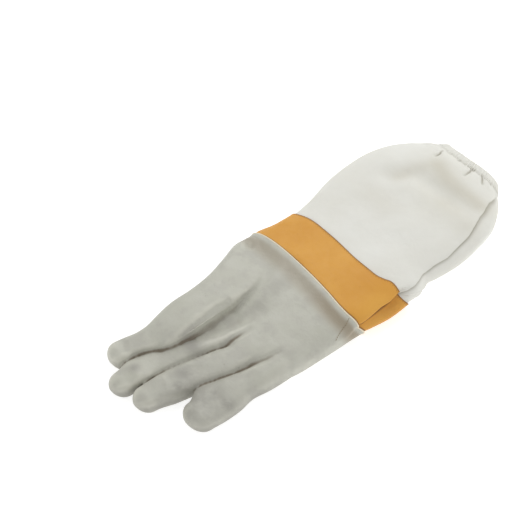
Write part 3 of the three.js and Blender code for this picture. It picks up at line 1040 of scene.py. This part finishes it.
# The line along which the top folds over the side panel, how deep the fold is, and the line
# below which the seam with the band pulls that panel in.
FOLD_LINE = {
    "y": (34, 45, 57, 66, 74, 83, 94, 103, 112, 122, 132, 145, 157, 165, 173, 189, 198, 207, 220),
    "z": (
        20, 20.7, 22.3, 22.8, 22.6, 22.3, 23.8, 24.4, 24.9, 26.9,
        28.4, 29.8, 31.6, 32.2, 32.3, 30.7, 29.1, 26.4, 21,
    ),
}
FOLD_DEEP = {"y": (34, 60, 150, 190, 212, 222), "deep": (2.6, 2.8, 2.6, 2.4, 1.4, 0)}
PULL_LINE = {"y": (42, 60, 78, 95), "z": (19, 14, 8, 3)}
PULL = {"deep": 2.4, "y": ((38, 46), (84, 100))}
FOLD_EDGE = (-0.5, 0.6)
PULL_EDGE = (-0.8, 0.8)
FOLD_FADES = 4.0


def drawn_in(y, z, line, edge):
    """How far the cloth is drawn in below a line, most just under it."""
    below = np.interp(y, line["y"], line["z"]) - z
    return smoothstep(below, *edge) * np.exp(-np.maximum(below, 0) / FOLD_FADES)


def side_fold(y, z):
    """The top of the sleeve folds over its side panel, which is drawn in below the fold."""
    fold = np.interp(y, FOLD_DEEP["y"], FOLD_DEEP["deep"]) * drawn_in(y, z, FOLD_LINE, FOLD_EDGE)
    pull = PULL["deep"] * drawn_in(y, z, PULL_LINE, PULL_EDGE)
    return fold + pull * plateau(y, *PULL["y"])


gather_random = np.random.default_rng(GATHER_SEED)
gather_uneven = gather_random.uniform(-GATHER_UNEVEN, GATHER_UNEVEN, GATHER_FOLDS)
gather_place = (np.arange(GATHER_FOLDS) + gather_uneven) * np.pi / GATHER_FOLDS
gather_wide = gather_random.uniform(*GATHER_WIDE, GATHER_FOLDS)
gather_deep = gather_random.uniform(*GATHER_DEEP, GATHER_FOLDS)
gather_long = gather_random.uniform(*GATHER_LONG, GATHER_FOLDS)
runs_on = gather_random.random(GATHER_FOLDS) > GATHER_RUNS_ON["above"]
gather_long += GATHER_RUNS_ON["by"] * runs_on


def gathers(y, angle, z):
    """The elastic's gathers: many short puckers and a few long folds, deepest at the elastic."""
    total = np.zeros(np.broadcast(y, angle).shape)
    before = np.maximum(SLEEVE_END - y, 0)
    for place, wide, deep, long in zip(gather_place, gather_wide, gather_deep, gather_long):
        fades = np.exp(-((before / long) ** GATHER_POWER))
        total = total + deep * bell(angle - place, wide) * fades
    total = total + swells(y, angle, SLEEVE_SWELLS) * plateau(y, *SWELLS_ALONG)
    total = total + PUFFED["by"] * plateau(angle, *PUFFED["angle"]) * plateau(y, *PUFFED["y"])
    ear = EAR["by"] * bell(angle - EAR["angle"], EAR["wide"])
    sunk = SUNK["by"] * bell(angle - SUNK["angle"], SUNK["wide"])
    return (total + smoothstep(y, *DRAWN_UP) * (ear - sunk)) * smoothstep(z, *SLEEVE_FREE)


sleeve_y = np.concatenate([np.linspace(*rows) for rows in SLEEVE_ROWS])[:, None]
sleeve_level = settled_level(sleeve_y, SLEEVE_START, SLEEVE_LEVEL)
sleeve_points = tube_skin(
    sleeve_y, tube_angles(), SLEEVE_INSET, sleeve_level, gathers, side_fold
)
over_top = np.tile(smoothstep(np.sin(tube_angles()), *DENTS_OVER), len(sleeve_y))
dented = press(sleeve_points.reshape(-1, 3), over_top, SLEEVE_DENTS)
sleeve = tube_piece("canvas_sleeve_cloth", dented.reshape(sleeve_points.shape), SLEEVE_WALL)

# What the canvas reads: painted shade in its dips, in its creases and just under the side fold.
DIP_DARK = (15, 25)
CREASE_DARK = {"strong": 0.8, "ends": 0.1, "wide": 1.0, "above": (12, 18)}
SIDE_DARK = {
    "strong": 0.75,
    "edge": (-0.5, 0.5),
    "wide": 1.5,
    "side": (0.78, 0.88),
    "y": (205, 220),
}


def paint_canvas(piece):
    """Keeps painted shade on a piece of the canvas: in its dips, its creases, and under the side
    fold.
    """
    x, y, z = (mesh_points(piece) / MM).T
    x, y = x + TUBE_MIDDLE[0], y + TUBE_MIDDLE[1]
    shaded, crease_shade = np.zeros(len(x)), np.zeros(len(x))
    # Painted shade in the dips.
    for path, wide, strong in SLEEVE_SHADES:
        away_from, _ = distance_to_path(x, y, path)
        shaded = np.maximum(shaded, strong * bell(away_from, wide))
    # Painted shade in the creases at the elastic.
    for path in HEM_CREASES:
        away_from, along = distance_to_path(x, y, path)
        fades = CREASE_DARK["strong"] * fading(along, CREASE_DARK["ends"])
        crease_shade = np.maximum(crease_shade, fades * bell(away_from, CREASE_DARK["wide"]))
    # A painted line of shade just under the side fold.
    below = np.interp(y, FOLD_LINE["y"], FOLD_LINE["z"]) - z
    line = smoothstep(below, *SIDE_DARK["edge"]) * bell(np.maximum(below, 0), SIDE_DARK["wide"])
    left, right = tube_column("left", y), tube_column("right", y)
    line = line * smoothstep((x - left) / (right - left), *SIDE_DARK["side"])
    line = SIDE_DARK["strong"] * line * (1 - smoothstep(y, *SIDE_DARK["y"]))
    paint(piece, "shaded", shaded * smoothstep(z, *DIP_DARK))
    paint(piece, "crease_shade", np.maximum(crease_shade * smoothstep(z, *CREASE_DARK["above"]), line))


paint_canvas(sleeve)

CANVAS = {
    "deep": (0.775, 0.765, 0.695),
    "light": (0.825, 0.822, 0.768),
    "shaded": (0.60, 0.565, 0.465),
    "crease_shade": (0.33, 0.305, 0.235),
    "thread": (0.76, 0.75, 0.69),
}


def canvas_finish():
    """Off-white plain-weave canvas with slubs, painted shade and a soft sheen."""
    finish = Finish("canvas")
    colour = finish.ramp(finish.noise(14, 4.0), (0.3, CANVAS["deep"]), (0.7, CANVAS["light"]))
    # Painted shade in the dips.
    colour = finish.mix(finish.painted("shaded", 0.66), colour, CANVAS["shaded"])
    # Painted shade in the creases and under the side fold.
    colour = finish.mix(finish.painted("crease_shade"), colour, CANVAS["crease_shade"])
    weave_map = finish.cloth_map()
    threads = []
    for direction in ("X", "Y"):
        wave = finish.add(
            "ShaderNodeTexWave", Vector=weave_map, Scale=320.0, Distortion=0.6, Detail=1.0
        )
        wave.bands_direction = direction
        threads.append(wave.outputs["Fac"])
    weave = finish.bump(finish.math("MULTIPLY", *threads), 0.00015)
    cloth = finish.bump(finish.noise(70, 3.0), 0.0008, weave)
    finish.surface(Base_Color=colour, Roughness=0.9, Normal=cloth)
    finish.surface(Sheen_Weight=0.15, Specular_IOR_Level=0.2)
    return finish.material


canvas = canvas_finish()
sleeve.data.materials.append(canvas)
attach(sleeve, "root")
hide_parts("canvas_sleeve")

# The elastic hem
# The sleeve's end turned in twice and stitched into a casing, with the elastic inside. It is
# drawn into small scallops that follow the gathers of the sleeve.
HEM_START = SLEEVE_END - 0.6
HEM_END = 238
HEM_INSET = 2.35
HEM_WALL = 2.2
HEM_ROWS = 16
HEM_BELLY = {"by": 1.2, "starts": 0.04, "runs": 0.9, "power": 0.8}
HEM_EVENS_OUT = 0.45
HEM_STITCHES = 1.6
HEM_COLUMNS = 700


def hem_bump(y, angle, z):
    """The casing swells between its two lines of stitches and follows the gathers."""
    share = (y - HEM_START) / (HEM_END - HEM_START)
    turn = np.pi * (HEM_BELLY["starts"] + HEM_BELLY["runs"] * share)
    swell = HEM_BELLY["by"] * np.sin(turn) ** HEM_BELLY["power"]
    at_elastic = gathers(np.full_like(y, SLEEVE_END), angle, z)
    return swell + at_elastic * (1 - HEM_EVENS_OUT * share)


hem_y = np.linspace(HEM_START, HEM_END, HEM_ROWS)[:, None]
hem_points = tube_skin(hem_y, tube_angles(), HEM_INSET, 0.0, hem_bump)
hem = tube_piece("elastic_casing", hem_points, HEM_WALL)
paint_canvas(hem)
hem.data.materials.append(canvas)
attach(hem, "root")
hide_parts("elastic_hem")

hem_line = tube_line(HEM_START + HEM_STITCHES, HEM_INSET, STITCH_LEVEL, HEM_COLUMNS, hem_bump)
white_thread = thread_finish("white_thread", CANVAS["thread"])
hem_stitches = stitch_row("casing_stitches", hem_line, True, white_thread)
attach(hem_stitches, "root")

# Floor and light
# A plain near-white floor under a broad soft light from above and behind, with a fill from the
# little finger side, a weak light from the fingers' end, and white all round.
FLOOR_SIZE = 6.0
FLOOR_DROP = -0.0002
# Each light's name, place, power in watts and size.
LIGHTS = (
    ("soft_box", (-0.9, 0.9, 1.5), 17, (1.6, 1.2)),
    ("fill", (1.3, 1.0, 0.9), 7, (1.2, 1.2)),
    ("front", (-0.5, -1.6, 0.7), 3.8, (0.5, 0.5)),
)
WORLD_STRENGTH = 0.52

corners = [(-1, -1), (1, -1), (1, 1), (-1, 1)]
floor_points = [(x * FLOOR_SIZE, y * FLOOR_SIZE, FLOOR_DROP) for x, y in corners]
floor = plain_mesh("floor", floor_points, [(0, 1, 2, 3)])
floor_finish = Finish("floor_white")
floor_finish.surface(Base_Color=(0.6, 0.6, 0.6), Roughness=0.9)
floor_finish.surface(Emission_Color=(1.0, 1.0, 1.0), Emission_Strength=0.7)
floor.data.materials.append(floor_finish.material)

for name, place, energy, (wide, high) in LIGHTS:
    light = bpy.data.objects.new(name, bpy.data.lights.new(name, "AREA"))
    light.data.shape = "RECTANGLE"
    light.data.size = wide
    light.data.size_y = high
    light.data.energy = energy
    light.location = place
    light.rotation_euler = Vector(place).to_track_quat("Z", "Y").to_euler()
    bpy.context.collection.objects.link(light)

world = bpy.data.worlds.new("white_room")
world.use_nodes = True
background = world.node_tree.nodes["Background"]
background.inputs["Color"].default_value = (1, 1, 1, 1)
background.inputs["Strength"].default_value = WORLD_STRENGTH
bpy.context.scene.world = world
bpy.context.scene.view_settings.view_transform = "Standard"
